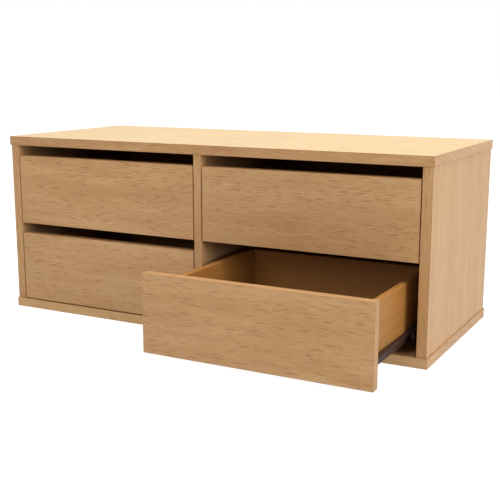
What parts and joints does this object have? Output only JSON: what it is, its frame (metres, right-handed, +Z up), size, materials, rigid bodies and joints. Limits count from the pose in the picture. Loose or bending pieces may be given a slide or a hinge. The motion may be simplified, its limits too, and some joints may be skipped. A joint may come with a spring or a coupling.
{
  "type": "under desk drawer",
  "caption": "Low chest of inset, handle-less drawers on roller runners, in beech-effect board, with a finger gap above each front; shown with a lower drawer open.",
  "frame": {"origin": "centre of the base panel's underside, where the chest stands on the floor", "axes": "+X along the width towards the right-hand drawers as seen from the front, -Y the way the drawers open, +Z up"},
  "size_m": [0.9, 0.577, 0.36],
  "materials": {
    "beech_top": "satin beech-effect melamine, grain along the width",
    "beech_base": "satin beech-effect melamine, grain along the width",
    "beech_side": "satin beech-effect melamine, grain upright",
    "beech_front": "satin beech-effect melamine with short dark flecks, grain along the width",
    "wrapped_side": "foil-wrapped chipboard, honey brown",
    "hardboard": "dark brown hardboard, smooth face",
    "birch": "raw hardwood",
    "runner_steel": "dark brown powder coat",
    "nylon": "dark brown nylon",
    "packer_plastic": "black extruded plastic",
    "zinc": "zinc plated"
  },
  "bodies": {
    "cabinet": {"top_panel": "beech_top", "base_panel": "beech_base", "left_side": "beech_side", "right_side": "beech_side", "centre_divider": "beech_side", "back_panel": "hardboard", "cam_locks": "zinc", "cam_bolts": "zinc", "top_dowels": "birch", "base_screws": "zinc", "runner_packers": "packer_plastic", "cabinet_runners_left": "runner_steel", "cabinet_runners_right": "runner_steel", "cabinet_runner_screws": "zinc"},
    "upper_left_drawer": {"ul_front": "beech_front", "ul_side_left": "wrapped_side", "ul_side_right": "wrapped_side", "ul_back": "wrapped_side", "ul_bottom": "hardboard", "ul_dowels": "birch", "ul_runner_left": "runner_steel", "ul_runner_right": "runner_steel", "ul_screws": "zinc"},
    "upper_left_rear_rollers": {"ul_rear_rollers": "nylon"},
    "upper_left_front_rollers": {"ul_front_rollers": "nylon"},
    "upper_right_drawer": {"ur_front": "beech_front", "ur_side_left": "wrapped_side", "ur_side_right": "wrapped_side", "ur_back": "wrapped_side", "ur_bottom": "hardboard", "ur_dowels": "birch", "ur_runner_left": "runner_steel", "ur_runner_right": "runner_steel", "ur_screws": "zinc"},
    "upper_right_rear_rollers": {"ur_rear_rollers": "nylon"},
    "upper_right_front_rollers": {"ur_front_rollers": "nylon"},
    "lower_left_drawer": {"ll_front": "beech_front", "ll_side_left": "wrapped_side", "ll_side_right": "wrapped_side", "ll_back": "wrapped_side", "ll_bottom": "hardboard", "ll_dowels": "birch", "ll_runner_left": "runner_steel", "ll_runner_right": "runner_steel", "ll_screws": "zinc"},
    "lower_left_rear_rollers": {"ll_rear_rollers": "nylon"},
    "lower_left_front_rollers": {"ll_front_rollers": "nylon"},
    "lower_right_drawer": {"lr_front": "beech_front", "lr_side_left": "wrapped_side", "lr_side_right": "wrapped_side", "lr_back": "wrapped_side", "lr_bottom": "hardboard", "lr_dowels": "birch", "lr_runner_left": "runner_steel", "lr_runner_right": "runner_steel", "lr_screws": "zinc"},
    "lower_right_rear_rollers": {"lr_rear_rollers": "nylon"},
    "lower_right_front_rollers": {"lr_front_rollers": "nylon"}
  },
  "joints": [
    {"name": "upper_left_slide", "type": "slide", "parent": "cabinet", "child": "upper_left_drawer", "axis": [0, -1, 0], "range_m": [0, 0.262]},
    {"name": "upper_left_rear_roller_spin", "type": "hinge", "parent": "upper_left_drawer", "child": "upper_left_rear_rollers", "pos_m": [-0.219, 0.161, 0.208], "axis": [1, 0, 0], "continuous": true},
    {"name": "upper_left_front_roller_spin", "type": "hinge", "parent": "cabinet", "child": "upper_left_front_rollers", "pos_m": [-0.219, -0.152, 0.208], "axis": [1, 0, 0], "continuous": true},
    {"name": "upper_right_slide", "type": "slide", "parent": "cabinet", "child": "upper_right_drawer", "axis": [0, -1, 0], "range_m": [0, 0.262]},
    {"name": "upper_right_rear_roller_spin", "type": "hinge", "parent": "upper_right_drawer", "child": "upper_right_rear_rollers", "pos_m": [0.219, 0.161, 0.208], "axis": [1, 0, 0], "continuous": true},
    {"name": "upper_right_front_roller_spin", "type": "hinge", "parent": "cabinet", "child": "upper_right_front_rollers", "pos_m": [0.219, -0.152, 0.208], "axis": [1, 0, 0], "continuous": true},
    {"name": "lower_left_slide", "type": "slide", "parent": "cabinet", "child": "lower_left_drawer", "axis": [0, -1, 0], "range_m": [0, 0.262]},
    {"name": "lower_left_rear_roller_spin", "type": "hinge", "parent": "lower_left_drawer", "child": "lower_left_rear_rollers", "pos_m": [-0.219, 0.161, 0.047], "axis": [1, 0, 0], "continuous": true},
    {"name": "lower_left_front_roller_spin", "type": "hinge", "parent": "cabinet", "child": "lower_left_front_rollers", "pos_m": [-0.219, -0.152, 0.047], "axis": [1, 0, 0], "continuous": true},
    {"name": "lower_right_slide", "type": "slide", "parent": "cabinet", "child": "lower_right_drawer", "axis": [0, -1, 0], "range_m": [-0.199, 0.063]},
    {"name": "lower_right_rear_roller_spin", "type": "hinge", "parent": "lower_right_drawer", "child": "lower_right_rear_rollers", "pos_m": [0.219, -0.038, 0.047], "axis": [1, 0, 0], "continuous": true},
    {"name": "lower_right_front_roller_spin", "type": "hinge", "parent": "cabinet", "child": "lower_right_front_rollers", "pos_m": [0.219, -0.152, 0.047], "axis": [1, 0, 0], "continuous": true}
  ],
  "couplings": [
    {"joint": "upper_left_rear_roller_spin", "follows": "upper_left_slide", "rad_per_m": 117.65},
    {"joint": "upper_left_front_roller_spin", "follows": "upper_left_slide", "rad_per_m": 117.65},
    {"joint": "upper_right_rear_roller_spin", "follows": "upper_right_slide", "rad_per_m": 117.65},
    {"joint": "upper_right_front_roller_spin", "follows": "upper_right_slide", "rad_per_m": 117.65},
    {"joint": "lower_left_rear_roller_spin", "follows": "lower_left_slide", "rad_per_m": 117.65},
    {"joint": "lower_left_front_roller_spin", "follows": "lower_left_slide", "rad_per_m": 117.65},
    {"joint": "lower_right_rear_roller_spin", "follows": "lower_right_slide", "rad_per_m": 117.65},
    {"joint": "lower_right_front_roller_spin", "follows": "lower_right_slide", "rad_per_m": 117.65}
  ]
}
